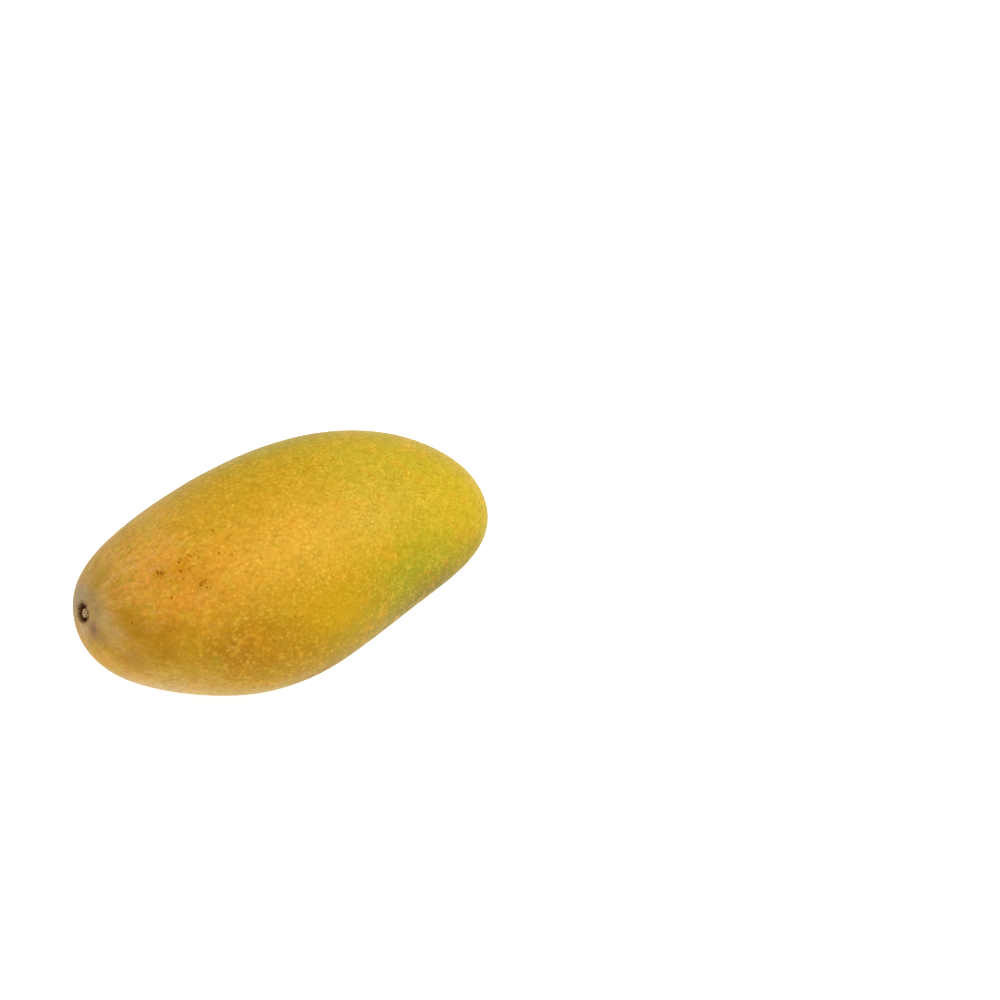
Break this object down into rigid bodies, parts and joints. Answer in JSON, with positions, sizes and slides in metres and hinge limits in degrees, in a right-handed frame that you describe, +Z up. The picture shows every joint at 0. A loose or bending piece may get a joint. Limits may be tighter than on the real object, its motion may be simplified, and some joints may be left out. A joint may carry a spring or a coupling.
{
  "type": "mango",
  "caption": "Whole slender mango turning from green to golden, lying on its cheek, with a stalk scar at the blunt end and a small beak near the nose.",
  "frame": {"origin": "on the surface that the fruit rests on, under the middle of its bounding box", "axes": "+X along the fruit from the stem end to the nose, +Y towards the full back, +Z up"},
  "size_m": [0.1308, 0.072, 0.0609],
  "materials": {
    "mango_skin": "satin, golden orange turning yellow green, with pale pores, a waxy bloom and a brown corky stalk scar"
  },
  "bodies": {
    "root": {"mango": "mango_skin"}
  },
  "joints": []
}
